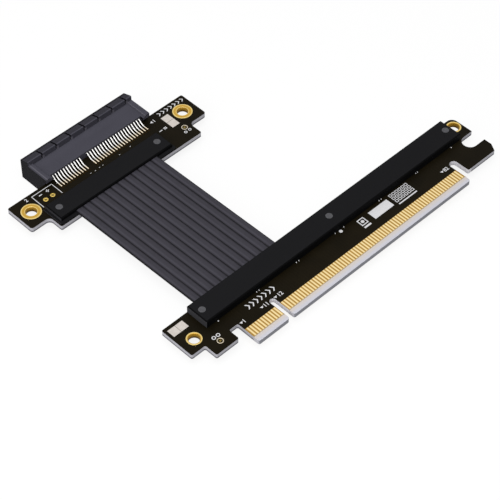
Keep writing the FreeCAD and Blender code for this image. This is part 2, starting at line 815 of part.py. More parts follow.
lower_shell = new_piece("socket_lower_shell")
sketch = new_sketch(lower_shell, "YZ_Plane", housing_left)
outline(sketch, [(housing_back, standing), (mouth, standing), (mouth, slot_low), (housing_back, slot_low)])
pad(lower_shell, sketch, housing_length)
shell_cuts(lower_shell, standing, slot_low, False)

# Socket contacts: stamped strips, one row above the board and one below. Each has a flat foot on its
# land, a gull leg up to the housing, and a sprung beam that dips into the card slot and turns up again.


def contact_profile(flip):
    """One contact in side view, flip turning a height above the board into one below it."""
    tip = socket_back - size.foot_reach
    dip = housing_back + size.beam_length
    lower_side = [
        (tip, size.copper),
        (tip + size.foot_length, size.copper),
        (housing_back, size.copper + size.leg_rise),
        (dip, -size.beam_dip),
        (dip + size.beam_tip_length, size.beam_tip_rise - size.beam_dip),
    ]
    upper_side = [(y, z + size.contact_thickness) for y, z in reversed(lower_side)]
    return [(y, underside - z if flip else z) for y, z in lower_side + upper_side]


def contact_row(label, flip):
    """The contacts of one row, in their two groups either side of the key."""
    body = new_piece(label)
    for first, count in contact_groups:
        sketch = new_sketch(body, "YZ_Plane", first)
        outline(sketch, contact_profile(flip))
        strip = pad(body, sketch, size.contact_width, symmetric=True)
        row(body, [strip], count, size.contact_pitch)
    pieces.append(body)


def contact_lands(label, base):
    """The gold lands that the feet of one row are soldered to."""
    body = new_piece(label)
    land_front = socket_back - size.land_reach
    for first, count in contact_groups:
        sketch = new_sketch(body, "XY_Plane", base)
        rectangle(sketch, first - size.land_width / 2, land_front,
                  first + size.land_width / 2, land_front + size.land_length)
        row(body, [pad(body, sketch, size.copper)], count, size.contact_pitch)
    pieces.append(body)


contact_row("socket_contacts_top", False)
contact_row("socket_contacts_bottom", True)
contact_lands("socket_lands_top", 0)
contact_lands("socket_lands_bottom", underside - size.copper)

# Every object must have come out sound before anything is written.

doc.recompute()
for thing in doc.Objects:
    if "Invalid" in thing.State or "Error" in thing.State:
        raise RuntimeError(f"{thing.Label} failed: {thing.State}")
for piece in pieces:
    if piece.Shape.isNull() or not piece.Shape.isValid() or not piece.Shape.Solids:
        raise RuntimeError(f"{piece.Label} has no sound shape")

os.makedirs("parts", exist_ok=True)
for piece in pieces:
    piece.Shape.exportStep(f"parts/{piece.Label}.step")
    print(f"{piece.Label}: {len(piece.Shape.Solids)} solids, {piece.Shape.Volume:.2f} mm3")
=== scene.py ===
import math

import bpy
import numpy as np
from mathutils import Matrix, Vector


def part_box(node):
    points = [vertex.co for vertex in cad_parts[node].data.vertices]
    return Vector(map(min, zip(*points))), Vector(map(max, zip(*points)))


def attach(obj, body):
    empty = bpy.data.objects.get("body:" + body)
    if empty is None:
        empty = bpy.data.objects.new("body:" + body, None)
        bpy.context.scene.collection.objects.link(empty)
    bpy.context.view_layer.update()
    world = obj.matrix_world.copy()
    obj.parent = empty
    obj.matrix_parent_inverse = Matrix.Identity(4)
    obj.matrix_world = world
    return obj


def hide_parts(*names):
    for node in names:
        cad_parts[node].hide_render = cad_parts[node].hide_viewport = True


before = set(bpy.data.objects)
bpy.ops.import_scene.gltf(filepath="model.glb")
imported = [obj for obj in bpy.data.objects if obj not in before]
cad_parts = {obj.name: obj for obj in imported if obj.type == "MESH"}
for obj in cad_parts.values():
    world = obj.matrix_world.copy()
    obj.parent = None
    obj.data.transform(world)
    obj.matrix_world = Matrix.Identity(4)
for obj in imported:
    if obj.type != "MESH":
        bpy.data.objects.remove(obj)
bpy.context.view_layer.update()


# Boards: two plates of 1.6 mm glass-cloth laminate, routed to outline and coated on both faces with a
# black solder mask, which stops short of the fingers. The routed edges show the bare, pale cloth.

MM = 0.001
board_low, board_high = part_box("edge_board")
BOARD_THICK = round((board_high.z - board_low.z) / MM, 3)
key_to_right_end = 87.7
# Sizes and places of pieces are in millimetres from the key: the notch's middle, the card edge, the top.
KEY = np.array([board_high.x - key_to_right_end * MM, board_low.y, board_high.z])
LANE_PITCH = 1.0
FIRST_LANE = -11.5


class Field:
    """A value that varies over a surface. Arithmetic between fields and numbers adds Math nodes."""

    def __init__(self, socket):
        self.socket = socket
        self.tree = socket.id_data

    @staticmethod
    def node(tree, kind, settings, values, output=0):
        """A new node in a tree: its settings come first, then the number, colour or link of each socket."""
        made = tree.nodes.new(kind)
        for name, setting in settings.items():
            setattr(made, name, setting)
        for name, value in values.items():
            if isinstance(value, Field):
                tree.links.new(value.socket, made.inputs[name])
            else:
                made.inputs[name].default_value = value
        return Field(made.outputs[output])

    def maths(self, operation, second=0.0):
        """A Math node that takes this field first."""
        return self.node(self.tree, "ShaderNodeMath", {"operation": operation}, {0: self, 1: second})

    def __add__(self, other):
        return self.maths("ADD", other)

    def __radd__(self, other):
        return self.maths("ADD", other)

    def __sub__(self, other):
        return self.maths("SUBTRACT", other)

    def __rsub__(self, other):
        return self.node(self.tree, "ShaderNodeMath", {"operation": "SUBTRACT"}, {0: other, 1: self})

    def __mul__(self, other):
        return self.maths("MULTIPLY", other)

    def __rmul__(self, other):
        return self.maths("MULTIPLY", other)

    def step(self, low, high):
        """Goes smoothly from 0 at low to 1 at high."""
        return self.node(self.tree, "ShaderNodeMapRange", {"interpolation_type": "SMOOTHSTEP"},
                         {"Value": self, "From Min": low, "From Max": high})

    def axis(self, name):
        """One coordinate of a vector field."""
        return self.node(self.tree, "ShaderNodeSeparateXYZ", {}, {0: self}, name)

    def noise(self, scale, detail=2.0, stretch=(1.0, 1.0, 1.0)):
        """Cloudy noise with about scale lumps a metre, drawn out along an axis by a stretch below 1."""
        vector = self.node(self.tree, "ShaderNodeVectorMath", {"operation": "MULTIPLY"},
                           {0: self, 1: stretch})
        return self.node(self.tree, "ShaderNodeTexNoise", {},
                         {"Vector": vector, "Scale": scale, "Detail": detail})

    def tint(self, at_nought, at_one):
        """A colour between two, by this field. A Mix node has them at inputs 6 and 7 and output 2."""
        return self.node(self.tree, "ShaderNodeMix", {"data_type": "RGBA"},
                         {0: self, 6: at_nought, 7: at_one}, 2)

    def bump(self, height):
        """A normal raised by this field, whose 1 stands height millimetres proud."""
        return self.node(self.tree, "ShaderNodeBump", {},
                         {"Height": self, "Strength": 1.0, "Distance": height * MM})


def screen(red, green, blue):
    """A colour given as it looks on a screen, 0 to 255, as the linear colour that a shader takes."""
    share = np.array([red, green, blue]) / 255
    linear = np.where(share < 0.04045, share / 12.92, ((share + 0.055) / 1.055) ** 2.4)
    return (*linear.tolist(), 1.0)


class Finish:
    """A material with one shader, whose even sockets are set here and whose varying ones are fed."""

    def __init__(self, name, **even):
        self.material = bpy.data.materials.new(name)
        self.material.use_nodes = True
        self.tree = self.material.node_tree
        self.shader = self.tree.nodes["Principled BSDF"]
        for socket, value in even.items():
            self.shader.inputs[socket.replace("_", " ")].default_value = value
        self.place = Field.node(self.tree, "ShaderNodeTexCoord", {}, {}, "Object")
        self.facing = Field.node(self.tree, "ShaderNodeNewGeometry", {}, {}, "True Normal")

    def mm(self, axis):
        """One coordinate of the surface, in millimetres from the key."""
        return (self.place.axis(axis) - float(KEY["XYZ".index(axis)])) * (1 / MM)

    def number(self, name):
        """The number that each point of the piece carries under a name."""
        return Field.node(self.tree, "ShaderNodeAttribute", {"attribute_name": name}, {}, "Fac")

    def feed(self, socket, field):
        """Links a field to a socket of the shader."""
        self.tree.links.new(field.socket, self.shader.inputs[socket])

    def cover_nodes(self, *names):
        """Gives solids of the frame this finish."""
        for name in names:
            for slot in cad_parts[name].material_slots:
                slot.material = self.material


laminate = Finish("masked_laminate", Specular_IOR_Level=0.04)
across, along, up = (laminate.mm(axis) for axis in "XYZ")


def patch(rectangle, soft=0.05):
    """1 inside a rectangle of the boards' plan and 0 outside it, with a soft rim."""
    left, right, front, back = rectangle
    return (across.step(left - soft, left + soft) * (1 - across.step(right - soft, right + soft))
            * along.step(front - soft, front + soft) * (1 - along.step(back - soft, back + soft)))


def from_lane(across_edge):
    """How far a place across the card edge lies from the middle of the nearest lane."""
    return (across_edge - FIRST_LANE).maths("PINGPONG", LANE_PITCH / 2)


# Left, right, front and back of the places where the boards change colour.
finger_bed = (-12.95, 72.95, -1.0, 5.31)
trace_bed = (-13.0, 73.0, 6.0, 13.8)
edge_bridge_gap = (-24.88, -24.72, 16.4, 19.25)
socket_bridge_gap = (26.0, 28.8, 77.22, 77.38)
key_notch = (-1.1, 1.3, 1.0, 9.0)
hook_slot = (72.4, 76.2, 1.0, 9.0)
foot_slot = (-14.8, -12.6, 4.0, 6.2)

facing_up = laminate.facing.axis("Z")
levelness = facing_up.maths("ABSOLUTE")
flat = levelness.step(0.975, 0.99)
mask_clouds = laminate.place.noise(150.0, 3.0)
grain = laminate.place.noise(5200.0)
trace = (1 - from_lane(across).step(0.16, 0.2)) * patch(trace_bed, 0.2)
mask_colour = (mask_clouds * 0.9 + trace * 0.1).tint(screen(13, 11, 5), screen(33, 27, 15))
gilded_cloth = grain.tint(screen(164, 126, 56), screen(196, 158, 84))
bared_face = patch(finger_bed).tint(mask_colour, gilded_cloth)
bridged = (patch(edge_bridge_gap) + patch(socket_bridge_gap)) * facing_up
face_colour = bridged.tint(bared_face, screen(150, 145, 140))
ply = (up + BOARD_THICK) * (1 / BOARD_THICK)
plies = (ply * 50.0).maths("SINE")
cloth = laminate.place.noise(2400.0, 3.0, (1.0, 1.0, 0.4))
pale = ply.step(0.24, 0.44) * 0.8 + cloth * 0.3 + plies * 0.03 - 0.05
# Painted shade: the routed edges are darkened along the card's front, where their faces look forward.
front_edge_shade = 1 - along.step(0.06, 0.14)
routed_colour = (pale * (1 - front_edge_shade * 0.6)).tint(screen(112, 111, 117), screen(206, 205, 212))
slots = patch(key_notch) + patch(hook_slot) + patch(foot_slot)
# Painted light: the walls of the key notch, the hook slot and the foot slot are lightened against the shade
# the narrow slots hold, and edge faces that tilt upwards are painted lighter as lit faces.
slot_painted_light = cloth.tint(screen(226, 225, 231), screen(250, 249, 254))
bevel_painted_light = cloth.tint(screen(222, 221, 229), screen(246, 245, 252))
edge_colour = levelness.step(0.7, 0.9).tint(slots.tint(routed_colour, slot_painted_light), bevel_painted_light)
laminate.feed("Base Color", flat.tint(edge_colour, face_colour))
laminate.feed("Roughness", 0.62 - flat * 0.2 + mask_clouds * 0.08)
laminate.feed("Normal", (grain * 0.5 + trace * flat * 0.5).bump(0.008))
laminate.cover_nodes("edge_board", "socket_board")


# Fingers, lands, bridge pads and tails: copper, etched on the boards or stripped at the ribbon's ends. The
# fingers are plated in hard gold, the lands of the contacts are gilded and painted dark as the shade and
# dark reflection of the cover over them, and the pads and tails are levelled with hot tin.


def clouded(name, scale, detail, colours, roughness, bump=0.0, **even):
    """A finish that follows one cloudy noise: its colour and its roughness go from the first to the second
    of two values, and with a bump its height does too, in millimetres."""
    finish = Finish(name, **even)
    clouds = finish.place.noise(scale, detail)
    dark, light = colours
    smooth, rough = roughness
    finish.feed("Base Color", clouds.tint(screen(*dark), screen(*light)))
    finish.feed("Roughness", smooth + clouds * (rough - smooth))
    if bump:
        finish.feed("Normal", clouds.bump(bump))
    return finish


hard_gold = Finish("hard_gold", Metallic=1.0)
wear = hard_gold.place.noise(2600.0, 3.0, (1.0, 0.06, 1.0))
# Each finger is lighter along its middle and darker towards its sides, with faint streaks of wear along it.
finger_core = 1 - from_lane(hard_gold.mm("X")).step(0.1, 0.33)
finger_middle_and_wear = finger_core * 0.8 + wear * 0.3
hard_gold.feed("Base Color", finger_middle_and_wear.tint(screen(197, 156, 82), screen(250, 228, 172)))
hard_gold.feed("Roughness", 0.24 + wear * 0.16)
hard_gold.cover_nodes("edge_fingers_top", "edge_fingers_bottom", "edge_solder_lands", "socket_solder_lands")

# Painted shade: the contact lands are gold darkened nearly to black, for the cover's shade and the dark
# cover they reflect.
shaded_land_gold = clouded("land_gold_painted_shade", scale=1500.0, detail=3.0, colours=((26, 19, 5), (56, 41, 12)),
                       roughness=(0.3, 0.5), Metallic=1.0)
shaded_land_gold.cover_nodes("socket_lands_top", "socket_lands_bottom")

levelled_tin = clouded("levelled_tin", scale=900.0, detail=2.0, colours=((190, 183, 176), (220, 213, 206)),
                       roughness=(0.34, 0.52), bump=0.06, Metallic=1.0)
levelled_tin.cover_nodes("edge_bridge_pads", "socket_bridge_pads")
levelled_tin.cover_nodes("ribbon_tails_edge", "ribbon_tails_socket")


# Hole eyelets: the copper of the four screw holes, drilled, plated through and gilded. Each land is a
# little dished and its inner lip rolls into the bore. The rims carry painted highlights, and the barrel is
# painted darker towards its lower end, as shade down the bore.


def grid_faces(rows, columns, closed_rows=False, closed_columns=False):
    """The quads of a grid of points, wrapping round in a direction that closes."""
    i = np.arange(rows if closed_rows else rows - 1)[:, None]
    j = np.arange(columns if closed_columns else columns - 1)[None, :]
    ahead = (i + 1) % rows
    beyond = (j + 1) % columns
    corners = (i * columns + j, ahead * columns + j, ahead * columns + beyond, i * columns + beyond)
    return np.stack(np.broadcast_arrays(*corners), -1).reshape(-1, 4)


def repeated(faces, points_each, count):
    """The faces of one shape, for count copies whose points follow one another."""
    return (faces[None] + np.arange(count)[:, None, None] * points_each).reshape(-1, faces.shape[1])


def revolved(profile, centres, segments):
    """A closed profile of radius and height swept once round the upright line through each centre."""
    turn = np.linspace(0, 2 * np.pi, segments, endpoint=False)[None, :, None]
    radius, height = np.asarray(profile, float).T[:, None, None, :]
    x, y = np.asarray(centres, float).T[:, :, None, None]
    points = np.stack(np.broadcast_arrays(x + radius * np.cos(turn), y + radius * np.sin(turn), height), -1)
    faces = grid_faces(segments, len(profile), closed_rows=True, closed_columns=True)
    return points.reshape(-1, 3), repeated(faces, segments * len(profile), len(centres))


def place_mm(points):
    """Points in millimetres from the key, in the part's metres."""
    return np.asarray(points, float) * MM + KEY


def new_piece(name, points, faces, finish, slot, sharp=None):
    """A mesh piece from points in millimetres and its faces, which rides on the part in its finish. The
    edges that bend by more than sharp degrees stay crisp, and with no such angle every face is flat."""
    mesh = bpy.data.meshes.new(name)
    mesh.from_pydata(place_mm(points).tolist(), [], faces.tolist())
    if sharp is not None:
        mesh.shade_smooth()
        mesh.set_sharp_from_angle(angle=math.radians(sharp))
    mesh.materials.append(finish.material)
    piece = bpy.data.objects.new(name, mesh)
    bpy.context.scene.collection.objects.link(piece)
    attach(piece, "root")
    return piece


def number_points(piece, name, numbers):
    """Gives every point of a piece a number, which its finish reads under that name."""
    piece.data.attributes.new(name, "FLOAT", "POINT").data.foreach_set("value", numbers)


def eyelet_profile(outer):
    """Over the upper land and its lip, down the slightly tapered bore, out under the lower land and up the
    drilled wall."""
    bore = 1.7
    foot = 1.6
    wall = 1.75
    width = outer - bore
    land_rim = [(outer, 0.0), (outer, 0.03), (outer - 0.06, 0.05)]
    dish = [(outer - 0.22 * width, 0.052), (outer - 0.45 * width, 0.036), (outer - 0.7 * width, 0.052)]
    upper_land = np.array(land_rim + dish)
    upper_lip = [(bore + 0.1, 0.045), (bore + 0.03, 0.01), (bore, -0.08)]
    lower_lip = [(foot, 0.06 - BOARD_THICK), (foot + 0.04, -0.04 - BOARD_THICK)]
    lower_land = upper_land[::-1] * (1, -1) - (0, BOARD_THICK)
    drilled = [(wall, -BOARD_THICK), (wall, 0.0)]
    return np.concatenate([upper_land, upper_lip, lower_lip, lower_land, drilled])


eyelet_gold = Finish("plated_eyelet_gold", Metallic=1.0)
polish = eyelet_gold.place.noise(1200.0, 3.0)
ring = eyelet_gold.number("ring")
# Painted highlights: the outer rim and the inner lip of each land are lightened.
lip = ring.step(0.66, 0.84) * 0.55 + (1 - ring.step(0.1, 0.26)) * 0.45
land_colour = (lip + polish * 0.2).tint(screen(192, 148, 42), screen(250, 230, 160))
from_middle = (eyelet_gold.mm("Z") + BOARD_THICK / 2) * (2 / BOARD_THICK)
# Painted shade: the barrel darkens towards the board's lower face, down the bore.
barrel = 1 - from_middle.maths("ABSOLUTE").step(0.94, 1.04)
barrel_colour = from_middle.step(-0.9, 0.9).tint(screen(72, 49, 10), screen(190, 148, 46))
eyelet_gold.feed("Base Color", barrel.tint(land_colour, barrel_colour))
eyelet_gold.feed("Roughness", 0.22 + polish * 0.16 + barrel * 0.3)
eyelet_segments = 72
widest_land = 1.3
for node, land_radius, centres in (("edge_left_hole_plating", 2.225, [(-24.05, 12.4)]),
                                   ("edge_right_hole_plating", 2.225, [(85.1, 17.42)]),
                                   ("socket_hole_platings", 3.0, [(-25.28, 77.75), (32.72, 77.75)])):
    profile = eyelet_profile(land_radius)
    eyelets = new_piece(node.replace("plating", "eyelet"), *revolved(profile, centres, eyelet_segments),
                        eyelet_gold, "gold", sharp=40)
    outwards = 1 - (land_radius - profile[:, 0]) / widest_land
    number_points(eyelets, "ring", np.tile(outwards, eyelet_segments * len(centres)))
    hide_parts(node)


# Tongue lip: the front of the card edge, where the laminate is left bare. It is ground to a shallow slope
# on its upper face, and its nearly square front shows the cut ends of the cloth.


def lips(lefts, rights, front, corner):
    """A lip between each left and right. The sections across it are upright rectangles: their upper and
    lower sides follow the ground slopes, and near the front they narrow along the arcs of the corners."""
    arc = np.linspace(0, np.pi / 2, 9)
    slope_ends = (front, 1.3, 1.55, 1.9)
    behind_arc = slope_ends[:0:-1]
    y = np.concatenate([behind_arc, front + corner - corner * np.sin(arc)])
    inset = np.concatenate([np.zeros(len(behind_arc)), corner - corner * np.cos(arc)])
    top = np.interp(y, slope_ends, (-0.1, 0.006, 0.053, 0.056))
    low = -BOARD_THICK - np.interp(y, slope_ends, (0.0, 0.006, 0.053, 0.056))
    left = np.asarray(lefts)[:, None] + inset
    right = np.asarray(rights)[:, None] - inset
    x = np.stack([left, right, right, left], -1)
    z = np.stack([top, top, low, low], -1)
    points = np.stack(np.broadcast_arrays(x, y[:, None], z), -1)
    count = 4 * len(y)
    caps = np.array([(0, 1, 2, 3), (count - 1, count - 2, count - 3, count - 4)])
    faces = np.concatenate([grid_faces(len(y), 4, closed_columns=True), caps])
    return points.reshape(-1, 3), repeated(faces, count, len(lefts))


bare_cloth = Finish("bare_lip_cloth", Specular_IOR_Level=0.04)
threads = bare_cloth.place.noise(2400.0, 3.0, (1.0, 1.0, 0.4))
sloped = bare_cloth.facing.axis("Z").maths("ABSOLUTE").step(0.7, 0.9)
to_front = (0 - bare_cloth.facing.axis("Y")).step(0.3, 0.9)
# Painted shade: cut faces that look forward are darker than those at the sides.
cut_colour = to_front.tint(screen(212, 211, 218), screen(147, 148, 155))
setback = bare_cloth.mm("Y")
by_fingers = setback.step(0.2, 1.4) * 0.8 + threads * 0.2
slope_colour = by_fingers.tint(screen(219, 220, 231), screen(226, 216, 208))
ground_colour = setback.step(1.6, 1.7).tint(slope_colour, screen(188, 170, 138))
bare_cloth.feed("Base Color", (threads * 0.15 + sloped).tint(cut_colour, ground_colour))
bare_cloth.feed("Roughness", 0.6 + threads * 0.1)
bare_cloth.feed("Normal", threads.bump(0.008))
lip_lefts = (-12.33, 0.92)
lip_rights = (-0.92, 72.33)
lip_shapes = lips(lip_lefts, lip_rights, front=-0.22, corner=0.6)
new_piece("tongue_lips", *lip_shapes, bare_cloth, "laminate", sharp=30)


# Test pads and header eyelets: small copper rings on the upper faces. The two header holes of the socket
# board are gilded and left filled with solder, which sinks in the middle as it sets.

AXIS_GAP = 0.001  # a profile that ends on its axis stops this far from it, and closes there


def ring_profile(outer, inner, crown):
    """A low rounded ring on the board, from its outer foot over its crown to its inner foot."""
    middle = (outer + inner) / 2
    return np.array([(outer, -0.01), (outer, 0.02), (outer - 0.08, crown), (middle, crown * 1.15),
                     (inner + 0.08, crown), (inner, 0.02), (inner, -0.01)])


def dot_profile(outer, crown, sink):
    """A round spot of solder or copper, with its middle sunk against its rim."""
    return np.array([(AXIS_GAP, -0.01), (outer, -0.01), (outer, crown * 0.5), (outer * 0.9, crown),
                     (outer * 0.5, crown - sink * 0.7), (AXIS_GAP, crown - sink)])


header_gold = clouded("gilded_header_ring", scale=1800.0, detail=2.0,
                      colours=((190, 158, 66), (232, 206, 124)), roughness=(0.28, 0.43), Metallic=1.0)
old_solder = clouded("old_solder", scale=2600.0, detail=3.0,
                     colours=((96, 82, 40), (150, 130, 74)), roughness=(0.42, 0.62), Metallic=1.0)
test_tin = clouded("test_pad_tin", scale=2000.0, detail=2.0,
                   colours=((176, 164, 140), (216, 206, 186)), roughness=(0.34, 0.5), Metallic=1.0)
header_places = [(-19.35, 78.45), (-16.81, 78.45)]
test_places = [(-19.57, 7.1), (28.6, 72.4)]
header_ring = ring_profile(outer=0.76, inner=0.36, crown=0.06)
header_fill = dot_profile(outer=0.38, crown=0.03, sink=0.03)
test_ring = ring_profile(outer=0.98, inner=0.72, crown=0.05)
test_core = dot_profile(outer=0.36, crown=0.04, sink=0.0)
new_piece("header_rings", *revolved(header_ring, header_places, 40), header_gold, "gold", sharp=50)
new_piece("header_fills", *revolved(header_fill, header_places, 32), old_solder, "tin", sharp=50)
new_piece("test_rings", *revolved(test_ring, test_places, 44), test_tin, "tin", sharp=50)
new_piece("test_cores", *revolved(test_core, test_places, 32), old_solder, "tin", sharp=50)


# Board print: white epoxy ink, screened on the mask in one thin coat. It carries pin numbers, polarity
# and place marks, a blank panel to write on, tick boxes, and ticks along the covers.


def turned(points, degrees):
    """Plan points turned about the origin."""
    cos = math.cos(math.radians(degrees))
    sin = math.sin(math.radians(degrees))
    return np.asarray(points, float) @ np.array([(cos, sin), (-sin, cos)])


def stamped(shape, faces, centres):
    """One flat shape of triangles, repeated about each centre."""
    points = np.asarray(centres, float)[:, None, :] + shape[None]
    return points.reshape(-1, 2), repeated(np.asarray(faces), len(shape), len(centres))


def bars(centres, length, width, turn=0.0):
    """Flat bars of that length and width, turned by degrees."""
    x = length / 2
    y = width / 2
    return stamped(turned([(-x, -y), (x, -y), (x, y), (-x, y)], turn), [(0, 1, 2), (0, 2, 3)], centres)


def arrows(centres, length, width, turn):
    """Filled arrowheads that point along their turn in degrees."""
    x = length / 2
    y = width / 2
    return stamped(turned([(-x, -y), (x, 0), (-x, y)], turn), [(0, 1, 2)], centres)


def chevrons(centres, length, width, line):
    """Open arrowheads that point to the right, drawn with two strokes of that line width."""
    x = length / 2
    y = width / 2
    shape = np.array([(-x, -y), (line - x, -y), (x, 0), (line - x, y), (-x, y), (x - line, 0)])
    return stamped(shape, [(0, 1, 2), (0, 2, 5), (5, 2, 3), (5, 3, 4)], centres)


def rings(centres, outer, inner=0.01, segments=28):
    """Flat rings between two radii, or discs where the inner one is next to nothing."""
    turn = np.linspace(0, 2 * np.pi, segments, endpoint=False)
    circle = np.stack([np.cos(turn), np.sin(turn)], -1)
    quads = grid_faces(segments, 2, closed_rows=True)[:, ::-1]
    triangles = np.concatenate([quads[:, [0, 1, 2]], quads[:, [0, 2, 3]]])
    return stamped(np.stack([circle * inner, circle * outer], 1).reshape(-1, 2), triangles, centres)


def joined(*shapes):
    """Several flat shapes as one set of points and triangles."""
    starts = np.cumsum([0] + [len(points) for points, _ in shapes])
    faces = np.concatenate([some + start for start, (_, some) in zip(starts, shapes)])
    return np.concatenate([points for points, _ in shapes]), faces


def boxes(centres, width, depth, line):
    """Outlined boxes of that width and depth, each drawn with four bars."""
    centres = np.asarray(centres, float)
    to_back = (0, (depth - line) / 2)
    to_side = ((width - line) / 2, 0)
    return joined(bars(np.concatenate([centres + to_back, centres - to_back]), width, line),
                  bars(np.concatenate([centres + to_side, centres - to_side]), line, depth - 2 * line))


def figures(text, centre, height):
    """A number about a centre, cut from the plain built-in font at that height and a little swollen."""
    figure_share = 0.7
    curve = bpy.data.curves.new("figures", "FONT")
    curve.body = text
    curve.size = height / figure_share
    curve.offset = 0.02 * height
    curve.align_x = "CENTER"
    curve.align_y = "CENTER"
    curve.resolution_u = 3
    carrier = bpy.data.objects.new("figures", curve)
    cut = bpy.data.meshes.new_from_object(carrier)
    cut.calc_loop_triangles()
    points = np.empty(len(cut.vertices) * 3)
    cut.vertices.foreach_get("co", points)
    faces = np.empty(len(cut.loop_triangles) * 3, int)
    cut.loop_triangles.foreach_get("vertices", faces)
    bpy.data.objects.remove(carrier)
    bpy.data.meshes.remove(cut)
    return points.reshape(-1, 3)[:, :2] + centre, faces.reshape(-1, 3)


white_ink = clouded("white_board_ink", scale=3200.0, detail=3.0, colours=((220, 220, 223), (250, 250, 252)),
                    roughness=(0.55, 0.75), bump=0.01, Specular_IOR_Level=0.3)
ink_foot = 0.004
ink_depth = 0.015


def printed(name, *shapes):
    """A printed layer on the board's top, given the depth of its coat by a solidify modifier."""
    points, faces = joined(*shapes)
    foot = np.full(len(points), ink_foot)
    piece = new_piece(name, np.column_stack([points, foot]), faces, white_ink, "laminate")
    coat = piece.modifiers.new("coat", "SOLIDIFY")
    coat.thickness = ink_depth * MM
    coat.offset = 1.0


pin_row = 7.5
pin_numbers = (("1", -10.35), ("11", -2.1), ("12", 3.2), ("82", 70.5))
pin_arrows = [(x, pin_row) for x in (-11.3, -3.6, 1.55, 68.95)]
cover_ticks = [(-0.82, 12.45), (0.06, 12.45), (14.42, 12.45), (15.38, 12.45), (29.84, 12.5), (33.26, 12.5),
               (47.7, 12.47), (48.56, 12.47), (63.11, 12.5), (63.84, 12.5)]
cover_dots = [(-15.29, 12.3), (78.22, 12.3)]
middle_dot = [(31.51, 11.9)]
place_rings = [(-20.18, 8.92), (-18.68, 8.88)]
blank_panel = [(45.7, 9.85)]
tick_boxes = [(51.3 + 1.28 * column, 11.5 - 1.3 * row) for row in range(3) for column in range(6)]
tick_box_rule = [(54.5, 7.6)]
edge_chevrons = [(-6.1 + 1.55 * step, 10.35) for step in range(7)]
target = [(38.5, 10.2)]
target_rule = [(38.5, 8.15)]
printed(
    "edge_board_print",
    bars(cover_ticks, length=0.5, width=0.24, turn=62),
    rings(cover_dots, outer=0.2),
    rings(middle_dot, outer=0.55),
    *(figures(text, (x, pin_row), height=1.25) for text, x in pin_numbers),
    arrows(pin_arrows, length=0.7, width=1.15, turn=-90),
    rings(place_rings, outer=0.62, inner=0.36),
    bars(blank_panel, length=7.6, width=3.1),
    boxes(tick_boxes, width=1.0, depth=1.0, line=0.2),
    bars(tick_box_rule, length=7.4, width=0.4),
    chevrons(edge_chevrons, length=1.15, width=1.9, line=0.42),
    boxes(target, width=2.5, depth=2.5, line=0.32),
    rings(target, outer=0.55),
    bars(target_rule, length=2.6, width=0.6),
)

socket_ticks = [(-3.41, 77.38), (-1.78, 77.25), (-0.17, 77.35), (1.21, 77.4), (7.46, 77.25), (11.86, 77.57)]
header_left = [(-21.65, 79.2)]
header_right = [(-14.28, 79.6)]
header_back = [(-17.96, 81.95)]
minus_sign = (-19.35, 80.75)
plus_sign = (-16.81, 80.75)
first_contact_arrow = [(22.9, 80.6)]
bridge_dash = [(22.6, 76.1)]
bridge_box = [(24.3, 76.1)]
test_pad_rings = [(27.5, 70.7), (29.1, 70.7)]
socket_chevrons = [(26.9 + 1.5 * step, 81.6) for step in range(7)]
printed(
    "socket_board_print",
    bars(socket_ticks, length=0.36, width=0.15),
    bars(header_left, length=5.4, width=0.22, turn=90),
    bars(header_right, length=4.8, width=0.22, turn=90),
    bars(header_back, length=7.6, width=0.22),
    bars([minus_sign, plus_sign], length=1.1, width=0.3),
    bars([plus_sign], length=0.3, width=1.1),
    figures("2", (-23.6, 81.9), height=1.2),
    figures("1", (24.0, 80.6), height=1.2),
    arrows(first_contact_arrow, length=0.8, width=1.1, turn=180),
    bars(bridge_dash, length=1.1, width=0.3),
    boxes(bridge_box, width=1.0, depth=0.8, line=0.24),
    rings(test_pad_rings, outer=0.5, inner=0.28),
    chevrons(socket_chevrons, length=1.1, width=1.4, line=0.38),
)


# Ribbon: twelve flat cables side by side in one extruded jacket, each with a pair of conductors that
# show as two faint swellings. The webs between the cables are pressed into narrow grooves.

ribbon_bands = 12
band_pitch = 2.575
ribbon_left = -16.15
ribbon_front = 17.6
ribbon_back = 71.0
ribbon_lean = 0.015  # leftwards, for each millimetre towards the socket
lean_pivot = 45.0


def ribbon_surface(thick, web, rows, band_points):
    """The jacket's section carried along the ribbon. Across a band, the half thickness is that of the web
    plus an arch, the rest of it times the root of one less the sixth power of the distance from the band's
    middle, less a narrow dip between the two conductors. Along it, the ribbon runs a little askew and its
    height wavers. The third value is the place across the band of each point, from 0 at a groove to 1."""
    dip = 0.1
    dip_width = 0.12
    waver_height = 0.015
    spread = np.sin(np.linspace(-1, 1, band_points + 1) * np.pi / 2)[:-1]
    arch = np.sqrt(1 - np.abs(spread) ** 6) - dip * np.exp(-(spread / dip_width) ** 2)
    half = np.append(np.tile(web / 2 + (thick - web) / 2 * arch, ribbon_bands), web / 2)
    phase = np.append(np.tile((spread + 1) / 2, ribbon_bands), 1.0)
    band = np.append(np.repeat(np.arange(ribbon_bands), band_points), ribbon_bands - 1)
    x = (band + phase)[None] * band_pitch
    y = np.linspace(ribbon_front, ribbon_back, rows)[:, None]
    share = (y - ribbon_front) / (ribbon_back - ribbon_front)
    waver = waver_height * np.sin(share * 9 + x * 0.13) * np.sin(share * np.pi) ** 2
    askew = x + ribbon_left - ribbon_lean * (y - lean_pivot)
    upper = np.stack(np.broadcast_arrays(askew, y, thick / 2 + half + waver), -1)
    lower = np.stack(np.broadcast_arrays(askew, y, thick / 2 - half + waver), -1)
    loop = np.concatenate([upper, lower[:, ::-1]], 1)
    count = loop.shape[1]
    i = np.arange(count // 2 - 1)
    cap = np.stack([i, i + 1, count - 2 - i, count - 1 - i], -1)
    sides = grid_faces(rows, count, closed_columns=True)[:, ::-1]
    faces = np.concatenate([sides, cap[:, ::-1], cap + (rows - 1) * count])
    return loop.reshape(-1, 3), faces, np.tile(np.append(phase, phase[::-1]), rows)


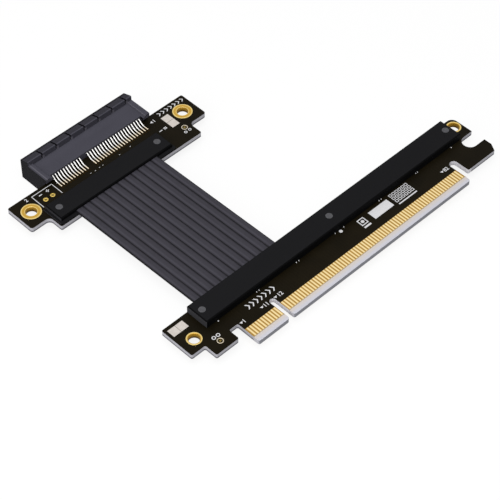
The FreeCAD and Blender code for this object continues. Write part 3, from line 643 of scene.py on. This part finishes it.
jacket = Finish("cable_jacket", Specular_IOR_Level=0.1)
streak = jacket.place.noise(2600.0, 3.0, (1.0, 0.03, 1.0))
mottle = jacket.place.noise(260.0)
speckle = jacket.place.noise(4200.0)
sheen = jacket.number("tone") + streak * 0.14 + mottle * 0.1 + speckle * 0.14 - 0.19
jacket.feed("Base Color", sheen.tint(screen(18, 17, 20), screen(90, 88, 98)))
jacket.feed("Roughness", 0.5 + streak * 0.15)
jacket.feed("Normal", streak.bump(0.012))
ribbon_points, ribbon_faces, band_phase = ribbon_surface(thick=0.75, web=0.3, rows=40, band_points=24)
ribbon = new_piece("ribbon_wrap", ribbon_points, ribbon_faces, jacket, "jacket", sharp=60)
# Painted light and shade: across each band the colour is lighter on the left shoulder and darker in the
# grooves and towards the right, as a light from the left would leave it; the two long edges are painted
# dark as shade.
band_light_places = (0, 0.05, 0.1, 0.17, 0.24, 0.3, 0.36, 0.44, 0.52, 0.72, 0.8, 0.87, 0.93, 1)
band_light_tones = (0.03, 0.14, 0.29, 0.46, 0.61, 0.66, 0.59, 0.48, 0.44, 0.46, 0.43, 0.34, 0.2, 0.03)
half_ribbon = ribbon_bands * band_pitch / 2
straightened = ribbon_points[:, 0] + ribbon_lean * (ribbon_points[:, 1] - lean_pivot)
selvedge = np.abs(straightened - ribbon_left - half_ribbon) > half_ribbon - 0.2
number_points(ribbon, "tone", np.where(selvedge, 0.0, np.interp(band_phase, band_light_places, band_light_tones)))
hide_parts("ribbon_jacket")


# Covers: black mouldings with a fine spark-eroded texture, an upper and a lower bar clamped on each
# board. The lower bars' posts come up through the upper ones and are staked flat with a hot tool.

moulding = Finish("spark_textured_cover", Specular_IOR_Level=0.04)
spark = moulding.place.noise(7000.0, 3.0)
flow = moulding.place.noise(90.0, 2.0, (0.3, 1.0, 1.0))
cover_top = moulding.facing.axis("Z").step(0.9, 0.98)
cover_end = (0 - moulding.facing.axis("X")).step(0.9, 0.98)
texture = spark * 0.5 + flow * 0.5
# Painted light and shade: upward faces are lighter, faces towards the left lighter still, and the other
# sides near black, as the lamps would leave them.
facing_light_and_shade = cover_end.tint(cover_top.tint(screen(6, 6, 7), screen(31, 31, 33)), screen(70, 70, 74))
moulding.feed("Base Color", (texture * 0.5).tint(facing_light_and_shade, screen(12, 12, 13)))
moulding.feed("Roughness", 0.55 + spark * 0.2)
moulding.feed("Normal", spark.bump(0.012))
moulding.cover_nodes("edge_upper_cover", "socket_upper_cover", "edge_lower_cover", "socket_lower_cover")

staked = clouded("staked_post_end", scale=1800.0, detail=3.0, colours=((74, 74, 77), (98, 98, 102)),
                 roughness=(0.42, 0.62), Specular_IOR_Level=0.15)
head = np.array([(AXIS_GAP, -0.02), (1.04, -0.02), (1.05, 0.0), (0.98, 0.035), (0.82, 0.05), (0.35, 0.052),
                 (0.3, 0.03), (AXIS_GAP, 0.028)])
for name, cover_height, posts in (("edge_post_heads", 2.6, [(-17.1, 16.65), (31.6, 16.65), (80.3, 16.65)]),
                                  ("socket_post_heads", 1.65, [(-19.37, 72.4), (17.73, 72.4)])):
    new_piece(name, *revolved(head + (0, cover_height), posts, 48), staked, "cover", sharp=45)


# Socket: three stacked glass-filled mouldings with a card slot, and two rows of stamped contacts whose
# feet are soldered to the board. The contacts are sheared from plated strip and bent.

# The upper shell's rim is cut at even steps. Each cut has painted light at its foot and painted shade where
# it runs back.
first_cut = -11.05
cut_pitch = 5.333
shell = Finish("glass_filled_shell", Specular_IOR_Level=0.04)
speck = shell.place.noise(3800.0, 3.0)
swirl = shell.place.noise(140.0, 3.0)
beside, inward, above = (shell.mm(axis) for axis in "XYZ")
shell_end = (0 - shell.facing.axis("X")).step(0.5, 0.9)
raised = above.step(2.16, 2.22) * beside.step(-15.7, -15.6)
from_cut = (beside - first_cut).maths("FLOORED_MODULO", cut_pitch)
to_mouth = shell.facing.axis("Y")
wall = (0 - to_mouth).step(0.5, 0.9) * raised
behind = inward.step(90.1, 90.4)
low_cut = (1 - from_cut.step(1.0, 1.2)) * raised * (1 - above.step(3.0, 3.5)) * (1 - behind)
deep_cut = (1 - from_cut.step(0.45, 0.55)) * raised * behind
mouth_slope = to_mouth.step(0.15, 0.35)
mouth_rim = inward.step(92.3, 92.5)
# Painted shade: faces towards the left end, the rim's front walls, its slope towards the mouth, the back of
# each cut and the rim's back edge are darkened.
shell_painted_shade = shell_end * 0.97 + wall * 0.25 + mouth_slope * 0.55 + deep_cut * 0.6 + mouth_rim * 0.4
# Painted light: the panel next to the rim is lightened against the shade the rim throws on it.
near_rim = inward.step(86.2, 89.6) * (1 - inward.step(89.7, 89.9))
grain_and_rim_light = (speck * 0.5 + swirl * 0.5 + near_rim * 0.5).tint(screen(70, 69, 78), screen(84, 83, 93))
shaded = shell_painted_shade.tint(grain_and_rim_light, screen(20, 19, 23))
# Painted light: the foot of each cut is pale, as if lit through the cut.
shell.feed("Base Color", low_cut.tint(shaded, screen(104, 102, 111)))
shell.feed("Roughness", 0.5 + speck * 0.18)
shell.feed("Normal", speck.bump(0.014))
shell.cover_nodes("socket_upper_shell", "socket_core", "socket_lower_shell")


def rounded_path(corners, reach, steps):
    """A bent line: each inner corner becomes a parabola that starts and ends a reach away from it."""
    corners = np.asarray(corners, float)
    reach = np.asarray(reach)[:, None]
    at = corners[1:-1]
    back = corners[:-2] - at
    ahead = corners[2:] - at
    start = at + back / np.linalg.norm(back, axis=1)[:, None] * reach
    end = at + ahead / np.linalg.norm(ahead, axis=1)[:, None] * reach
    t = np.linspace(0, 1, steps)[None, :, None]
    bends = (1 - t) ** 2 * start[:, None] + 2 * t * (1 - t) * at[:, None] + t ** 2 * end[:, None]
    return np.concatenate([corners[:1], bends.reshape(-1, 2), corners[-1:]])


def strips(path, places, width, thick, under):
    """A strip carried along a path in the YZ plane, at each x, with a bevelled rectangle for its section,
    set square to the path at every point. Under turns it over to the board's lower face."""
    direction = np.gradient(path, axis=0)
    direction /= np.linalg.norm(direction, axis=1)[:, None]
    normal = np.stack([-direction[:, 1], direction[:, 0]], -1)
    half = width / 2
    bevel = 0.04
    side = np.array([-half, -half, bevel - half, half - bevel, half, half, half - bevel, bevel - half])
    lift = np.array([thick - bevel, bevel, 0, 0, bevel, thick - bevel, thick, thick])
    yz = path[:, None, :] + normal[:, None, :] * lift[None, :, None]
    yz = yz * (1, -1) - (0, BOARD_THICK) if under else yz
    x = np.asarray(places)[:, None, None] + side[None, None, :]
    points = np.stack(np.broadcast_arrays(x, yz[None, ..., 0], yz[None, ..., 1]), -1)
    count = len(path) * len(side)
    cap = np.array([(0, 1, 2, 7), (7, 2, 3, 6), (6, 3, 4, 5)])
    sides = grid_faces(len(path), len(side), closed_columns=True)
    faces = np.concatenate([sides, cap, cap[:, ::-1] + count - len(side)])
    return points.reshape(-1, 3), repeated(faces[:, ::-1] if under else faces, count, len(places))


def mounds(places, y, half_width, half_length, height, under):
    """A low mound of solder at each x. Its section rises from a foot in the land, then falls off from the
    middle as a circle does, and it is swept round an oval. Under turns it to the board's lower face."""
    inmost = 0.004
    foot = 0.02
    brim = 0.03
    reach = np.linspace(1, inmost, 5)
    rise = brim + height * np.sqrt(1 - (reach * 0.999) ** 2)
    section = np.stack([np.append((inmost, 1.0), reach), np.append((foot, foot), rise)], -1)
    shape, faces = revolved(section, [(0.0, 0.0)], 12)
    shape = shape * (half_width, half_length, -1 if under else 1) + (0, y, -BOARD_THICK if under else 0)
    points = shape[None] + np.stack(np.broadcast_arrays(np.asarray(places), 0, 0), -1)[:, None]
    return points.reshape(-1, 3), repeated(faces[:, ::-1] if under else faces, len(shape), len(places))


plated = Finish("plated_contact_strip", Metallic=1.0)
leg = plated.mm("Y").step(79.6, 81.2)
film = plated.place.noise(2200.0)
sheared_and_shaded = plated.facing.axis("X").maths("ABSOLUTE").step(0.75, 0.95)
rolled = leg.tint(screen(255, 240, 212), screen(254, 253, 250))
# The sheared sides show bare base metal and are painted darker still, as the shade between the legs.
plated.feed("Base Color", sheared_and_shaded.tint(rolled, screen(84, 66, 40)))
plated.feed("Roughness", 0.22 + film * 0.14)
joint_solder = clouded("joint_solder", scale=2400.0, detail=3.0, colours=((74, 56, 24), (122, 98, 56)),
                       roughness=(0.3, 0.55), Metallic=1.0)
left_contacts = -12.78 + np.arange(11) * LANE_PITCH
right_contacts = 0.22 + np.arange(21) * LANE_PITCH
contacts = np.concatenate([left_contacts, right_contacts])
bend_corners = [(79.05, 0.05), (81.35, 0.05), (83.2, 1.55), (89.4, -0.25), (90.6, 0.4)]
bend = rounded_path(bend_corners, reach=(0.9, 0.5, 0.5), steps=7)
for row, under in (("top", False), ("bottom", True)):
    strip_shapes = strips(bend, contacts, width=0.32, thick=0.2, under=under)
    strip_row = new_piece("socket_strips_" + row, *strip_shapes, plated, "contact", sharp=35)
    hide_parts("socket_contacts_" + row)
    mound_shapes = mounds(contacts, y=80.1, half_width=0.27, half_length=1.1, height=0.09, under=under)
    new_piece("socket_joints_" + row, *mound_shapes, joint_solder, "tin", sharp=60)


# Stage: a pale floor under a soft light from above and a weaker one from the left, and the camera of
# the photograph, a long lens that looks down on the part over its left front corner.

floor_reach = 2.0
floor_height = -0.05 * MM
floor_plan = ((-1, -1), (1, -1), (1, 1), (-1, 1))
floor_corners = [(x * floor_reach, y * floor_reach, floor_height) for x, y in floor_plan]
floor_mesh = bpy.data.meshes.new("floor")
floor_mesh.from_pydata(floor_corners, [], [(0, 1, 2, 3)])
floor = bpy.data.objects.new("floor", floor_mesh)
bpy.context.scene.collection.objects.link(floor)


def seen(tree):
    """1 on the rays from the camera, from gloss and through glass, and 0 on the others."""
    from_camera, from_gloss, through_glass = (
        Field.node(tree, "ShaderNodeLightPath", {}, {}, ray)
        for ray in ("Is Camera Ray", "Is Glossy Ray", "Is Transmission Ray"))
    return from_camera.maths("MAXIMUM", from_gloss).maths("MAXIMUM", through_glass)


# The floor lights the part as plain grey paper. Where it is seen, it glows and still takes the shadow.
paper = bpy.data.materials.new("pale_floor")
paper.use_nodes = True
paper_tree = paper.node_tree
paper_tree.nodes.remove(paper_tree.nodes["Principled BSDF"])
lookers = seen(paper_tree)
matt = Field.node(paper_tree, "ShaderNodeBsdfDiffuse", {}, {"Color": (0.62, 0.62, 0.62, 1.0)})
dim = Field.node(paper_tree, "ShaderNodeBsdfDiffuse", {}, {"Color": (0.16, 0.16, 0.16, 1.0)})
glow = Field.node(paper_tree, "ShaderNodeEmission", {}, {"Color": (1.0, 1.0, 1.0, 1.0), "Strength": 0.87})
lit = Field.node(paper_tree, "ShaderNodeAddShader", {}, {0: dim, 1: glow})
both = Field.node(paper_tree, "ShaderNodeMixShader", {}, {0: lookers, 1: matt, 2: lit})
paper_tree.links.new(both.socket, paper_tree.nodes["Material Output"].inputs["Surface"])
floor_mesh.materials.append(paper)

world = bpy.data.worlds.new("studio")
bpy.context.scene.world = world
world.use_nodes = True
background = world.node_tree.nodes["Background"]
background.inputs["Color"].default_value = (1.0, 1.0, 1.0, 1.0)
sky = seen(world.node_tree) * 0.6 + 0.4
world.node_tree.links.new(sky.socket, background.inputs["Strength"])


def stood(name, data, right, top, back, place):
    """A lamp or camera at a place in metres, with its right, its top and its back turned those ways."""
    holder = bpy.data.objects.new(name, data)
    bpy.context.scene.collection.objects.link(holder)
    stand = np.eye(4)
    stand[:3] = np.stack([right, top, back, place], 1)
    holder.matrix_world = Matrix(stand)
    return holder


def lamp(name, place, size, watts):
    """A square soft light at a place, turned to face the part."""
    light = bpy.data.lights.new(name, "AREA")
    light.energy = watts
    light.size = size
    away = np.array(place) / np.linalg.norm(place)
    side = np.cross((0.0, 1.0, 0.0), away)
    side /= np.linalg.norm(side)
    stood(name, light, side, np.cross(away, side), away, place)


lamp("top_light", (-0.18, -0.12, 0.6), size=0.5, watts=1.9)
lamp("left_light", (-0.6, -0.1, 0.28), size=0.4, watts=1.0)

azimuth = math.radians(-44.604)
elevation = math.radians(48.124)
roll = math.radians(0.237)
aim = place_mm((8.515, 24.54, 0.0))
distance = 0.50885
view_back = np.array([math.sin(azimuth) * math.cos(elevation), -math.cos(azimuth) * math.cos(elevation),
                      math.sin(elevation)])
level = np.array([math.cos(azimuth), math.sin(azimuth), 0.0])
upright = np.cross(view_back, level)
view_right = math.cos(roll) * level + math.sin(roll) * upright
view_top = math.cos(roll) * upright - math.sin(roll) * level
view_place = aim + distance * view_back
long_lens = bpy.data.cameras.new("camera")
long_lens.lens = 133.008
long_lens.sensor_width = 36.0
long_lens.clip_start = 0.01
bpy.context.scene.camera = stood("camera", long_lens, view_right, view_top, view_back, view_place)
bpy.context.scene.view_settings.view_transform = "Standard"
